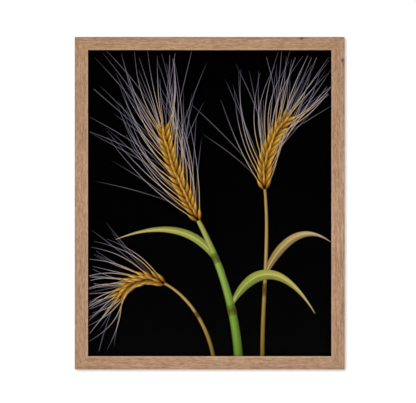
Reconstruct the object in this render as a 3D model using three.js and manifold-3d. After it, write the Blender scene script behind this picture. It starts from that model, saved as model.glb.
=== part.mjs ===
// A framed art print, 40 x 50 cm, made to hang upright on a wall.
// Four mitred oak rails hold a sheet of picture glass, the print and a backing board in their rebate.
// Flexible points driven into the rebate keep the sheets in, V-nails pull the mitres together, and a
// toothed hanger pinned to the board hooks on a nail in the wall.
// Millimetres, +Z up. The picture faces -Y. The origin is the roof of the hanger's middle notch, where
// the wall nail bears, halfway through the thickness of its toothed bar.
import * as THREE from 'three';
import { mergeVertices } from 'three/addons/utils/BufferGeometryUtils.js';
import Module from 'manifold-3d';

const wasm = await Module();
wasm.setup();

// ---- Driving dimensions ----------------------------------------------------------------------------

const SHEET_WIDTH = 400; // the print, its glazing and its board
const SHEET_HEIGHT = 500;
const SHEET_PLAY = 1; // round the sheets, inside the rebate
const SHEET_GAP = 0.2; // between one sheet and the next
const GLAZING_THICKNESS = 2;
const PRINT_THICKNESS = 0.3;
const BOARD_THICKNESS = 3;

const RAIL_FACE = 21; // width of a rail, seen from the front
const RAIL_DEPTH = 22;
const LIP_OVERLAP = 6; // how far the lip covers the sheets
const LIP_THICKNESS = 5;
const OUTER_ARRIS = 0.9; // radii of the sanded edges
const SIGHT_ARRIS = 0.7;
const BACK_ARRIS = 0.5;
const GLUE_LINE = 0.1; // gap between two mitred ends

const HARDWARE_GAP = 0.15; // round a piece of hardware, in its slot or hole

// ---- Dimensions that follow ------------------------------------------------------------------------

const REBATE_WIDTH = LIP_OVERLAP + SHEET_PLAY;
const WALL = RAIL_FACE - REBATE_WIDTH; // thickness of the wood beside the rebate
const OUTER_WIDTH = SHEET_WIDTH + 2 * (RAIL_FACE - LIP_OVERLAP);
const OUTER_HEIGHT = SHEET_HEIGHT + 2 * (RAIL_FACE - LIP_OVERLAP);

// Depths are counted from the front face of the rails, towards the wall.
const GLAZING_FRONT = LIP_THICKNESS + SHEET_GAP;
const PRINT_FRONT = GLAZING_FRONT + GLAZING_THICKNESS + SHEET_GAP;
const BOARD_FRONT = PRINT_FRONT + PRINT_THICKNESS + SHEET_GAP;
const BOARD_BACK = BOARD_FRONT + BOARD_THICKNESS;

// ---- Solids ----------------------------------------------------------------------------------------

// A three.js geometry as a manifold-3d solid, for cutting and joining.
function toSolid(geometry) {
  const bare = geometry.clone();
  bare.deleteAttribute('normal');
  bare.deleteAttribute('uv');
  const merged = mergeVertices(bare, 1e-4);
  return new wasm.Manifold(new wasm.Mesh({
    numProp: 3,
    vertProperties: new Float32Array(merged.attributes.position.array),
    triVerts: new Uint32Array(merged.index.array),
  }));
}

// A manifold-3d solid as a three.js geometry, with flat faces.
function toGeometry(solid) {
  const { vertProperties, triVerts } = solid.getMesh();
  const shared = new THREE.BufferGeometry();
  shared.setAttribute('position', new THREE.BufferAttribute(vertProperties, 3));
  shared.setIndex(new THREE.BufferAttribute(triVerts, 1));
  const flat = shared.toNonIndexed();
  flat.computeVertexNormals();
  return flat;
}

function cut(geometry, cutters) {
  return toGeometry(cutters.reduce((solid, cutter) => solid.subtract(toSolid(cutter)), toSolid(geometry)));
}

// A box between two corners.
function boxBetween([x0, y0, z0], [x1, y1, z1]) {
  const box = new THREE.BoxGeometry(x1 - x0, y1 - y0, z1 - z0);
  return box.translate((x0 + x1) / 2, (y0 + y1) / 2, (z0 + z1) / 2);
}

// An outline drawn in X and Z, as a plate from depth y0 to depth y1.
function uprightPlate(outline, y0, y1, curveSegments = 10) {
  const plate = new THREE.ExtrudeGeometry(outline, { depth: y1 - y0, bevelEnabled: false, curveSegments });
  return plate.rotateX(Math.PI / 2).translate(0, y1, 0);
}

function shapeThrough(points) {
  return new THREE.Shape(points.map(([x, y]) => new THREE.Vector2(x, y)));
}

// A pressed strip. Its bends are given by the corners of its front face, in X and Y, and its outline is
// drawn in X and Z.
function pressedStrip(frontCorners, thickness, outline) {
  const backCorners = frontCorners.map(([x, y]) => [x, y + thickness]).reverse();
  const { min, max } = new THREE.Box2().setFromPoints(outline.getPoints());
  const depths = frontCorners.map(([, y]) => y);
  const bent = new THREE.ExtrudeGeometry(shapeThrough([...frontCorners, ...backCorners]), {
    depth: max.y - min.y + 2,
    bevelEnabled: false,
  }).translate(0, 0, min.y - 1);
  const plate = uprightPlate(outline, Math.min(...depths) - 1, Math.max(...depths) + thickness + 1, 8);
  return toGeometry(toSolid(bent).intersect(toSolid(plate)));
}

// ---- Materials -------------------------------------------------------------------------------------

const oak = new THREE.MeshStandardMaterial({ color: 0xaf8b6f, roughness: 0.6, metalness: 0 });
const pictureGlass = new THREE.MeshStandardMaterial({
  color: 0xf4f7f7, roughness: 0.03, metalness: 0, transparent: true, opacity: 0.15,
});
const printedPaper = new THREE.MeshStandardMaterial({ color: 0x060607, roughness: 0.8, metalness: 0 });
const fibreboard = new THREE.MeshStandardMaterial({ color: 0x9c7750, roughness: 0.85, metalness: 0 });
const zincedSteel = new THREE.MeshStandardMaterial({ color: 0xb9bcbe, roughness: 0.35, metalness: 1 });
const springSteel = new THREE.MeshStandardMaterial({ color: 0x737578, roughness: 0.4, metalness: 1 });
const brassedSteel = new THREE.MeshStandardMaterial({ color: 0xb08d4a, roughness: 0.35, metalness: 1 });

function part(name, geometry, material) {
  const mesh = new THREE.Mesh(geometry, material);
  mesh.name = name;
  return mesh;
}

// ---- Hanger ----------------------------------------------------------------------------------------
// A strip of steel whose two tabs lie on the board. The bar between them stands off it, and has notches
// along its lower edge, so that the head of the wall nail goes behind it and its shank into a notch.

const STRIP_THICKNESS = 0.8;
const STAND_OFF = 1.9;
const TAB_REACH = 27; // from the middle notch to the end of a tab
const TAB_PIN = 22.5; // from the middle notch to a pin
const BEND_OUTER = 19; // where the bar's bends start and end
const BEND_INNER = 16.5;
const NOTCH_PITCH = 4;
const NOTCHES_EACH_SIDE = 3;
const NOTCH_ROOF = 1.8; // width of a notch at its roof
const NOTCH_MOUTH = 3.2;
const NOTCH_DEPTH = 2.2;
const BAR_TOP = 7.8; // above the notch roofs
const PIN_HOLE_RADIUS = 1.2;

const TAB_FRONT = BOARD_BACK + HARDWARE_GAP;
const TAB_BACK = TAB_FRONT + STRIP_THICKNESS;
const BAR_FRONT = TAB_FRONT + STAND_OFF;
const BAR_BACK = BAR_FRONT + STRIP_THICKNESS;
const BAR_MIDDLE = (BAR_FRONT + BAR_BACK) / 2;
const PIN_Z = (BAR_TOP - NOTCH_DEPTH) / 2;

function hangerOutline() {
  const tabRadius = (BAR_TOP + NOTCH_DEPTH) / 2;
  const tabCentre = TAB_REACH - tabRadius;
  const outline = new THREE.Shape();
  outline.moveTo(-tabCentre, -NOTCH_DEPTH);
  for (let i = -NOTCHES_EACH_SIDE; i <= NOTCHES_EACH_SIDE; i++) {
    const x = i * NOTCH_PITCH;
    outline.lineTo(x - NOTCH_MOUTH / 2, -NOTCH_DEPTH);
    outline.lineTo(x - NOTCH_ROOF / 2, 0);
    outline.lineTo(x + NOTCH_ROOF / 2, 0);
    outline.lineTo(x + NOTCH_MOUTH / 2, -NOTCH_DEPTH);
  }
  outline.lineTo(tabCentre, -NOTCH_DEPTH);
  outline.absarc(tabCentre, PIN_Z, tabRadius, -Math.PI / 2, Math.PI / 2);
  outline.absarc(-tabCentre, PIN_Z, tabRadius, Math.PI / 2, 1.5 * Math.PI);
  for (const side of [-1, 1]) {
    outline.holes.push(new THREE.Path().absarc(side * TAB_PIN, PIN_Z, PIN_HOLE_RADIUS, 0, 2 * Math.PI));
  }
  return outline;
}

const HANGER_BENDS = [
  [-TAB_REACH - 1, TAB_FRONT],
  [-BEND_OUTER, TAB_FRONT],
  [-BEND_INNER, BAR_FRONT],
  [BEND_INNER, BAR_FRONT],
  [BEND_OUTER, TAB_FRONT],
  [TAB_REACH + 1, TAB_FRONT],
];

const hanger = part(
  'hanger',
  pressedStrip(HANGER_BENDS, STRIP_THICKNESS, hangerOutline()),
  zincedSteel,
);

// Two domed pins hold the tabs. Their points stop inside the board, short of the print.
const PIN_SHANK_RADIUS = 1;
const PIN_HEAD_RADIUS = 2.6;
const PIN_HEAD_HEIGHT = 1.2;
const PIN_POINT = 0.6; // length of the tapered point
const PIN_GRIP = 2.2; // how far a pin goes into the board

function hangerPin() {
  const head = TAB_BACK + HARDWARE_GAP;
  const tip = BOARD_BACK - PIN_GRIP;
  const profile = [
    [0, tip],
    [PIN_SHANK_RADIUS, tip + PIN_POINT],
    [PIN_SHANK_RADIUS, head],
    [PIN_HEAD_RADIUS, head],
    [PIN_HEAD_RADIUS * 0.92, head + PIN_HEAD_HEIGHT * 0.5],
    [PIN_HEAD_RADIUS * 0.6, head + PIN_HEAD_HEIGHT * 0.88],
    [0, head + PIN_HEAD_HEIGHT],
  ];
  return new THREE.LatheGeometry(profile.map(([r, y]) => new THREE.Vector2(r, y)), 20);
}

const pins = [-1, 1].map((side) => {
  const pin = part(side < 0 ? 'hanger_pin_left' : 'hanger_pin_right', hangerPin(), brassedSteel);
  pin.position.set(side * TAB_PIN, 0, PIN_Z);
  return pin;
});

// ---- Where the frame stands, from the hanger's notch -----------------------------------------------

const HANGER_DROP = 26; // from the rebate's upper wall down to the notch
const TOP_Z = HANGER_DROP + WALL;
const CENTRE_Z = TOP_Z - OUTER_HEIGHT / 2;

// ---- Sheets ----------------------------------------------------------------------------------------

function sheet(name, front, thickness, material) {
  return part(
    name,
    boxBetween(
      [-SHEET_WIDTH / 2, front, CENTRE_Z - SHEET_HEIGHT / 2],
      [SHEET_WIDTH / 2, front + thickness, CENTRE_Z + SHEET_HEIGHT / 2],
    ),
    material,
  );
}

const glazing = sheet('glazing', GLAZING_FRONT, GLAZING_THICKNESS, pictureGlass);
const print = sheet('print', PRINT_FRONT, PRINT_THICKNESS, printedPaper);
const board = sheet('backing_board', BOARD_FRONT, BOARD_THICKNESS, fibreboard);

const PIN_HOLE_DEPTH = PIN_GRIP + HARDWARE_GAP;
board.geometry = cut(board.geometry, [-1, 1].map((side) => (
  new THREE.CylinderGeometry(PIN_HOLE_RADIUS, PIN_HOLE_RADIUS, PIN_HOLE_DEPTH + 1, 20)
    .translate(side * TAB_PIN, BOARD_BACK - PIN_HOLE_DEPTH + (PIN_HOLE_DEPTH + 1) / 2, PIN_Z)
)));

// ---- Flexible points -------------------------------------------------------------------------------
// Thin steel tongues whose tapered tails are driven into the rebate's wall. They lie on the board, and
// their round tips turn up a little, for a finger to bend them back.

const POINT_THICKNESS = 0.6;
const POINT_WIDTH = 8;
const POINT_REACH = 13; // over the board, from the rebate's wall
const POINT_TAIL = 6.5; // into the wood
const TAIL_WIDTH = 5;
const TAIL_END_WIDTH = 2;
const SHOULDER = 0.6; // from the wall to the point's full width
const TIP_START = 9; // where the tip starts to turn up
const TIP_LIFT = 1.3;
const POINT_FRONT = BOARD_BACK + HARDWARE_GAP;

// In its own frame a point lies along X: the rebate's wall is at x = 0, and the wood at x < 0.
const POINT_BENDS = [
  [-POINT_TAIL - 1, POINT_FRONT],
  [TIP_START, POINT_FRONT],
  [POINT_REACH, POINT_FRONT + TIP_LIFT],
  [POINT_REACH + 1, POINT_FRONT + TIP_LIFT],
];

function flexiblePoint() {
  const radius = POINT_WIDTH / 2;
  const outline = new THREE.Shape();
  outline.moveTo(-POINT_TAIL, -TAIL_END_WIDTH / 2);
  outline.lineTo(0, -TAIL_WIDTH / 2);
  outline.lineTo(SHOULDER, -radius);
  outline.lineTo(POINT_REACH - radius, -radius);
  outline.absarc(POINT_REACH - radius, 0, radius, -Math.PI / 2, Math.PI / 2);
  outline.lineTo(SHOULDER, radius);
  outline.lineTo(0, TAIL_WIDTH / 2);
  outline.lineTo(-POINT_TAIL, TAIL_END_WIDTH / 2);
  return pressedStrip(POINT_BENDS, POINT_THICKNESS, outline);
}

// ---- V-nails ---------------------------------------------------------------------------------------
// Bent steel strips pressed into the back of each mitre, one wing in each rail.

const V_NAIL_SETBACKS = [3.6, 8.6]; // from the corner's outer edges to the bend
const V_NAIL_WING = 4.4;
const V_NAIL_THICKNESS = 0.6;
const V_NAIL_HEIGHT = 10;
const V_NAIL_SUNK = 0.2; // below the rails' back faces

// ---- Rails -----------------------------------------------------------------------------------------
// In its own frame a rail lies along X with its outer edge at z = 0 and its sight edge at z = -RAIL_FACE.

// The L section, drawn as distance from the outer edge against depth.
function railSection() {
  const section = new THREE.Shape();
  section.moveTo(0, OUTER_ARRIS);
  section.absarc(OUTER_ARRIS, OUTER_ARRIS, OUTER_ARRIS, Math.PI, 1.5 * Math.PI);
  section.lineTo(RAIL_FACE - SIGHT_ARRIS, 0);
  section.absarc(RAIL_FACE - SIGHT_ARRIS, SIGHT_ARRIS, SIGHT_ARRIS, 1.5 * Math.PI, 2 * Math.PI);
  section.lineTo(RAIL_FACE, LIP_THICKNESS);
  section.lineTo(WALL, LIP_THICKNESS);
  section.lineTo(WALL, RAIL_DEPTH);
  section.lineTo(BACK_ARRIS, RAIL_DEPTH);
  section.absarc(BACK_ARRIS, RAIL_DEPTH - BACK_ARRIS, BACK_ARRIS, 0.5 * Math.PI, Math.PI);
  return section;
}

// The section run from mitre to mitre: the further from the outer edge, the shorter the rail.
function mitredBlank(length) {
  const blank = new THREE.ExtrudeGeometry(railSection(), { depth: 1, bevelEnabled: false, curveSegments: 4 });
  const position = blank.attributes.position;
  for (let i = 0; i < position.count; i++) {
    const inward = position.getX(i);
    const depth = position.getY(i);
    const along = position.getZ(i) - 0.5;
    position.setXYZ(i, along * (length - 2 * inward - 2 * GLUE_LINE), depth, -inward);
  }
  return blank;
}

function vNailSlot(length, end, setback) {
  const near = length / 2 - setback + V_NAIL_THICKNESS / 2 + HARDWARE_GAP;
  const far = length / 2 - setback - V_NAIL_WING - HARDWARE_GAP;
  const half = V_NAIL_THICKNESS / 2 + HARDWARE_GAP;
  const bottom = RAIL_DEPTH - V_NAIL_SUNK - V_NAIL_HEIGHT - HARDWARE_GAP;
  const [x0, x1] = end > 0 ? [far, near] : [-near, -far];
  return boxBetween([x0, bottom, -setback - half], [x1, RAIL_DEPTH + 1, -setback + half]);
}

function pointSlot(x) {
  const half = TAIL_WIDTH / 2 + HARDWARE_GAP;
  return boxBetween(
    [x - half, POINT_FRONT - HARDWARE_GAP, -WALL - 1],
    [x + half, POINT_FRONT + POINT_THICKNESS + HARDWARE_GAP, -WALL + POINT_TAIL + HARDWARE_GAP],
  );
}

function rail(length, pointPlaces) {
  const slots = pointPlaces.map(pointSlot);
  for (const end of [-1, 1]) {
    for (const setback of V_NAIL_SETBACKS) {
      slots.push(vNailSlot(length, end, setback));
    }
  }
  return cut(mitredBlank(length), slots);
}

// One wing lies along this rail, at its left end, and the other along the rail beside it.
function vNail(length, setback) {
  const half = V_NAIL_THICKNESS / 2;
  const x = -length / 2 + setback;
  const z = -setback;
  const bend = shapeThrough([
    [x - half, z + half],
    [x - half, z - V_NAIL_WING],
    [x + half, z - V_NAIL_WING],
    [x + half, z - half],
    [x + V_NAIL_WING, z - half],
    [x + V_NAIL_WING, z + half],
  ]);
  const back = RAIL_DEPTH - V_NAIL_SUNK;
  return uprightPlate(bend, back - V_NAIL_HEIGHT, back);
}

// ---- The four sides --------------------------------------------------------------------------------
// Each side is built as the top one and turned into place. Its corner is the one at its left end.

const SHORT_SIDE_POINTS = [-118, 118]; // from the middle of a side
const LONG_SIDE_POINTS = [-175, 0, 175];
const SHORT_SIDE = { length: OUTER_WIDTH, reach: OUTER_HEIGHT / 2, points: SHORT_SIDE_POINTS };
const LONG_SIDE = { length: OUTER_HEIGHT, reach: OUTER_WIDTH / 2, points: LONG_SIDE_POINTS };
const SIDES = [
  { name: 'top', corner: 'top_left', turn: 0, ...SHORT_SIDE },
  { name: 'right', corner: 'top_right', turn: Math.PI / 2, ...LONG_SIDE },
  { name: 'bottom', corner: 'bottom_right', turn: Math.PI, ...SHORT_SIDE },
  { name: 'left', corner: 'bottom_left', turn: -Math.PI / 2, ...LONG_SIDE },
];

const frame = new THREE.Group();
frame.position.z = CENTRE_Z;
for (const { name, corner, turn, length, reach, points } of SIDES) {
  const side = new THREE.Group();
  side.rotation.y = turn;
  frame.add(side);

  const pieces = [part(`rail_${name}`, rail(length, points), oak)];
  V_NAIL_SETBACKS.forEach((setback, i) => {
    pieces.push(part(`v_nail_${corner}_${i + 1}`, vNail(length, setback), zincedSteel));
  });
  for (const piece of pieces) {
    piece.position.z = reach;
    side.add(piece);
  }

  points.forEach((x, i) => {
    const point = part(`flexible_point_${name}_${i + 1}`, flexiblePoint(), springSteel);
    point.position.set(x, 0, reach - WALL);
    point.rotation.y = Math.PI / 2;
    side.add(point);
  });
}

// ---- The whole picture -----------------------------------------------------------------------------

const framedPrint = new THREE.Group();
framedPrint.position.y = -BAR_MIDDLE; // depths start at the front face, and the origin is in the bar
framedPrint.add(frame, glazing, print, board, hanger, ...pins);

export default framedPrint;
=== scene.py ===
import math
import random

import bmesh
import bpy
import numpy as np
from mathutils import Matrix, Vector
from mathutils.geometry import delaunay_2d_cdt


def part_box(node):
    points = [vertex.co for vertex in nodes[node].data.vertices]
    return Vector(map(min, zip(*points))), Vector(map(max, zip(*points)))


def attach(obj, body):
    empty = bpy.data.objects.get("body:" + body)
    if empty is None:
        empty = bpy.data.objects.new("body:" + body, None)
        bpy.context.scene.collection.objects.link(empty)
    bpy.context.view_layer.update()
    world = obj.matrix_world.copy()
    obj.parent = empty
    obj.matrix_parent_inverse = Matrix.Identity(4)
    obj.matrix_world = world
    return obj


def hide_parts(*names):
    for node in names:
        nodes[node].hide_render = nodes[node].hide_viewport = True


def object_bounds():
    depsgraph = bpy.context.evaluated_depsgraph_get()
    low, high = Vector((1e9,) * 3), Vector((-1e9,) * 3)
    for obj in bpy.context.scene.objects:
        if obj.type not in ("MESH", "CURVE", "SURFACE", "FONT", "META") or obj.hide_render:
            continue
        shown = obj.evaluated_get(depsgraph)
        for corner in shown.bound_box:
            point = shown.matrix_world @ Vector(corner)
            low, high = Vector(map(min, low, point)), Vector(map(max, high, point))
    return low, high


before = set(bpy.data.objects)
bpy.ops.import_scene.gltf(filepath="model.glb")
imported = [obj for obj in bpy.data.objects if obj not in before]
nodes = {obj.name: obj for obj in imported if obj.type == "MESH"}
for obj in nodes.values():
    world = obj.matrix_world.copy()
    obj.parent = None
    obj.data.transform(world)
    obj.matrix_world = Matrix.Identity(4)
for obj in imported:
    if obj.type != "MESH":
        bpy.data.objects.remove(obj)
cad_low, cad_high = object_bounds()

# ---- Camera -----------------------------------------------------------------------------------------
# The picture is looked at from straight in front, through a long lens a few metres away, so that the
# rails show little but their faces and the corners stay square.

LENS = 300  # mm
SENSOR = 36  # mm
WIDTH_SHARE = 0.6489  # how much of the view's width the frame takes up
RIGHT_SHARE = 0.0040  # how far the picture hangs off the view's middle, in view widths
DOWN_SHARE = 0.0039

middle = (cad_low + cad_high) / 2
view_width = (cad_high.x - cad_low.x) / WIDTH_SHARE
camera_distance = view_width * LENS / SENSOR

camera_data = bpy.data.cameras.new("camera")
camera_data.lens = LENS
camera_data.sensor_width = SENSOR
camera = bpy.data.objects.new("camera", camera_data)
camera.location = (
    middle.x - RIGHT_SHARE * view_width,
    cad_low.y - camera_distance,
    middle.z + DOWN_SHARE * view_width,
)
camera.rotation_euler = (math.pi / 2, 0, 0)
bpy.context.scene.collection.objects.link(camera)
bpy.context.scene.camera = camera
bpy.context.scene.view_settings.view_transform = "Standard"

# ---- Wall and floor ---------------------------------------------------------------------------------
# The picture hangs on a white wall, well above a pale floor. The wall is a stage flat: it shows only
# from its front and holds back no light, so that the picture's back can be seen and lit as well. A
# black cloth hangs in front, where only mirror reflections meet it, so that the print stays black.

MM = 0.001

# Sizes and distances in metres.
WALL_GAP = 0.5 * MM
WALL_HALF_WIDTH = 6.0
WALL_HEIGHT = 4.5
FLOOR_DROP = 0.6  # from the picture's lower edge
FLOOR_HALF = 20.0
CLOTH_HALF = 3.0
CLOTH_DISTANCE = 4.0  # in front of the picture


def linear(colour):
    """An sRGB hex value as a linear colour with full alpha."""
    parts = [(colour >> shift & 255) / 255 for shift in (16, 8, 0)]
    return [p / 12.92 if p <= 0.04045 else ((p + 0.055) / 1.055) ** 2.4 for p in parts] + [1.0]


def new_material(name):
    """A new material, with its node tree and its shader."""
    material = bpy.data.materials.new(name)
    material.use_nodes = True
    return material, material.node_tree, material.node_tree.nodes["Principled BSDF"]


def wire(tree, node, inputs):
    """Sets a node's sockets, each to a value or to the output that it is linked to."""
    for socket, value in inputs.items():
        if isinstance(value, bpy.types.NodeSocket):
            tree.links.new(value, node.inputs[socket])
        else:
            node.inputs[socket].default_value = value


def add(tree, kind, inputs=None, **settings):
    """Adds a node, with its settings and the sockets that inputs names."""
    node = tree.nodes.new(kind)
    for setting, value in settings.items():
        setattr(node, setting, value)
    wire(tree, node, inputs or {})
    return node


def new_object(name, mesh):
    """An object at the origin, in the scene."""
    made = bpy.data.objects.new(name, mesh)
    bpy.context.scene.collection.objects.link(made)
    return made


def upright_panel(name, x_range, z_range, y, material):
    """A flat panel in a vertical plane, facing the camera."""
    (x0, x1), (z0, z1) = x_range, z_range
    mesh = bpy.data.meshes.new(name)
    mesh.from_pydata([(x0, y, z0), (x1, y, z0), (x1, y, z1), (x0, y, z1)], [], [(0, 1, 2, 3)])
    mesh.materials.append(material)
    panel = new_object(name, mesh)
    return panel


def wall_paint():
    """White wall paint. It takes its light from a lamp of its own and glows a little, so that the
    shadow on it is grey and thin."""
    material, tree, shader = new_material("white_wall_paint")
    wire(tree, shader, {
        "Base Color": linear(0x7C7C7C),
        "Roughness": 1.0,
        "Specular IOR Level": 0.0,
        "Emission Color": linear(0xFFFFFF),
        "Emission Strength": 0.35,
    })
    facing = add(tree, "ShaderNodeNewGeometry")
    one_sided = add(tree, "ShaderNodeMixShader", {
        0: facing.outputs["Backfacing"],
        1: shader.outputs[0],
        2: add(tree, "ShaderNodeBsdfTransparent").outputs[0],
    })
    wire(tree, tree.nodes["Material Output"], {"Surface": one_sided.outputs[0]})
    return material


def flat_paint(name, colour):
    material, tree, shader = new_material(name)
    wire(tree, shader, {"Base Color": linear(colour), "Roughness": 0.9, "Specular IOR Level": 0.1})
    return material


floor_z = cad_low.z - FLOOR_DROP
wall = upright_panel(
    "wall",
    (-WALL_HALF_WIDTH, WALL_HALF_WIDTH),
    (floor_z, floor_z + WALL_HEIGHT),
    cad_high.y + WALL_GAP,
    wall_paint(),
)
wall.visible_diffuse = False
wall.visible_shadow = False
wall.visible_glossy = False

cloth = upright_panel(
    "black_cloth",
    (middle.x - CLOTH_HALF, middle.x + CLOTH_HALF),
    (middle.z - CLOTH_HALF, middle.z + CLOTH_HALF),
    cad_low.y - CLOTH_DISTANCE,
    flat_paint("black_cloth", 0x000000),
)
cloth.visible_camera = False
cloth.visible_diffuse = False
cloth.visible_shadow = False

floor_mesh = bpy.data.meshes.new("floor")
floor_mesh.from_pydata(
    [(x * FLOOR_HALF, y * FLOOR_HALF, floor_z) for x, y in ((-1, -1), (1, -1), (1, 1), (-1, 1))],
    [],
    [(0, 1, 2, 3)],
)
floor_mesh.materials.append(flat_paint("pale_floor", 0xE7E6E4))
new_object("floor", floor_mesh)

# ---- Light ------------------------------------------------------------------------------------------
# Soft studio light: an even pale surround, a broad key from the upper left, a light overhead and one
# for the back. A lamp beside the key lights only the wall, and puts a thin shadow on it at the
# picture's right and below.

KEY_WAY = (0.155, 1, -0.155)  # to the back, a little to the right and a little down
KEY_SPREAD = 18  # degrees


def soft_light(name, strength, spread, towards):
    """A broad, even light. towards is the way that its light goes, and spread its width in degrees."""
    data = bpy.data.lights.new(name, "SUN")
    data.energy = strength
    data.angle = math.radians(spread)
    light = bpy.data.objects.new(name, data)
    light.rotation_mode = "QUATERNION"
    light.rotation_quaternion = Vector(towards).to_track_quat("-Z", "Y")
    bpy.context.scene.collection.objects.link(light)
    return light


key = soft_light("key_light", strength=0.65, spread=KEY_SPREAD, towards=KEY_WAY)
key.visible_glossy = False
soft_light("overhead_light", strength=0.9, spread=30, towards=(0, 0, -1))
soft_light("back_light", strength=0.9, spread=25, towards=(0.5, -1, -0.6))

wall_only = bpy.data.collections.new("wall_only")
wall_only.objects.link(wall)
wall_light = soft_light("wall_light", strength=8.6, spread=KEY_SPREAD, towards=KEY_WAY)
wall_light.light_linking.receiver_collection = wall_only

world = bpy.data.worlds.new("studio")
world.use_nodes = True
wire(world.node_tree, world.node_tree.nodes["Background"], {"Color": linear(0xFFFFFF), "Strength": 0.72})
bpy.context.scene.world = world

# ---- Rails ------------------------------------------------------------------------------------------
# Four lengths of oak moulding, mitred and glued at the corners. They were planed, sanded and rubbed
# with a matt oil on the faces that show. The rebate and the backs are bare wood.

LIP_THICKNESS = 5 * MM
RAIL_FACE = 21 * MM

# The grain's layers: how long and wide a streak is, in mm, and how finely it is broken up.
OAK_LAYERS = {
    "fibres": (10, 1.4, 3.0),
    "figure": (50, 2.6, 2.0),
    "tone": (220, 18, 1.0),
    "dashes": (8, 0.8, 2.0),
    "pores": (5, 0.25, 1.0),
}
OAK_SHARES = {"fibres": 0.6, "figure": 0.28, "tone": 0.12}  # of each in the wood's lightness
OILED_TONES = (0x9D7857, 0xCCA587)
BARE_TONES = (0xAE8E6B, 0xD0B48F)
PORE_TONE = 0x6E4F3A
KNOT_TONE = 0x5F4336

# Painted shade along each rail's outer face, stronger on some sides: how far in, in mm, and how strongly.
OUTER_EDGE_SHADES = {
    "rail_top": (7.0, 0.2),
    "rail_right": (2.4, 0.05),
    "rail_bottom": (7.0, 0.18),
    "rail_left": (2.4, 0.45),
}
END_DARKENING = 0.14  # how much darker the rails grow towards their ends
# The tone of the painted shade along the outer edges, and of the darker ends.
EDGE_SHADE_AND_END_TONE = 0x7A573E

# A painted highlight lightens each rail along its sight edge: how far out, in mm, and how strongly.
SIGHT_EDGE_HIGHLIGHTS = {
    "rail_top": (3.2, 0.35),
    "rail_right": (3.0, 0.4),
    "rail_bottom": (3.4, 0.4),
    "rail_left": (2.4, 0.65),
}
HIGHLIGHT_FADE = 1.8  # mm from none of the painted highlight to all of it
HIGHLIGHT_TONE = 0xDDB994

# A colour mix's sockets by their numbers, because its other kinds use the same names.
MIX_FROM, MIX_TO, MIXED = 6, 7, 2


def dress(node, material):
    nodes[node].data.materials.clear()
    nodes[node].data.materials.append(material)


def oak_grain(tree, place, turn, cut_from):
    """The grain's layers, which run along X, or along the way that turn turns it about Y. cut_from is
    the place in the timber that the rail was cut from, in metres."""
    timber = add(tree, "ShaderNodeMapping", {
        "Vector": place,
        "Location": cut_from,
        "Rotation": (0, turn, 0),
    })
    grain = {}
    for layer, (length, width, detail) in OAK_LAYERS.items():
        drawn_out = add(tree, "ShaderNodeMapping", {
            "Vector": timber.outputs[0],
            "Scale": (1 / (length * MM), 1 / (width * MM), 1 / (width * MM)),
        })
        grain[layer] = add(tree, "ShaderNodeTexNoise", {
            "Vector": drawn_out.outputs[0],
            "Scale": 1.0,
            "Detail": detail,
            "Roughness": 0.6,
            "Distortion": 0.15,
        }).outputs[0]
    return grain


def unoiled_faces(tree, place, inward):
    """1 on the rail's back and in its rebate, behind the lip, and 0 on its other faces."""
    normal = add(tree, "ShaderNodeNewGeometry").outputs["Normal"]
    depth = add(tree, "ShaderNodeSeparateXYZ", {0: place}).outputs["Y"]
    to_back = add(tree, "ShaderNodeVectorMath", {0: normal, 1: (0, 1, 0)}, operation="DOT_PRODUCT")
    to_sheets = add(tree, "ShaderNodeVectorMath", {0: normal, 1: inward}, operation="DOT_PRODUCT")
    behind_lip = add(tree, "ShaderNodeMath", {
        0: depth,
        1: cad_low.y + LIP_THICKNESS,
    }, operation="GREATER_THAN")
    in_rebate = add(tree, "ShaderNodeMath", {
        0: to_sheets.outputs["Value"],
        1: behind_lip.outputs[0],
    }, operation="MULTIPLY")
    either = add(tree, "ShaderNodeMath", {
        0: in_rebate.outputs[0],
        1: to_back.outputs["Value"],
    }, operation="MAXIMUM")
    share = add(tree, "ShaderNodeMath", {0: either.outputs[0], 1: 0.5}, operation="GREATER_THAN")
    return share.outputs[0]


def wood_colour(tree, grain, unoiled):
    """The wood's colour, from its grain. unoiled is 1 where the wood is bare and 0 where it is oiled."""
    # The layers' values bunch round a half, so the tones span only the middle of their range.
    total = 0
    for layer, share in OAK_SHARES.items():
        total = add(tree, "ShaderNodeMath", {
            0: grain[layer],
            1: share,
            2: total,
        }, operation="MULTIPLY_ADD").outputs[0]
    lightness = add(tree, "ShaderNodeMapRange", {
        "Value": total,
        "From Min": 0.38,
        "From Max": 0.62,
    }).outputs[0]
    oiled = add(tree, "ShaderNodeMix", {
        0: lightness,
        MIX_FROM: linear(OILED_TONES[0]),
        MIX_TO: linear(OILED_TONES[1]),
    }, data_type="RGBA")
    bare = add(tree, "ShaderNodeMix", {
        0: lightness,
        MIX_FROM: linear(BARE_TONES[0]),
        MIX_TO: linear(BARE_TONES[1]),
    }, data_type="RGBA")
    colour = add(tree, "ShaderNodeMix", {
        0: unoiled,
        MIX_FROM: oiled.outputs[MIXED],
        MIX_TO: bare.outputs[MIXED],
    }, data_type="RGBA")
    return colour.outputs[MIXED]


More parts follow.
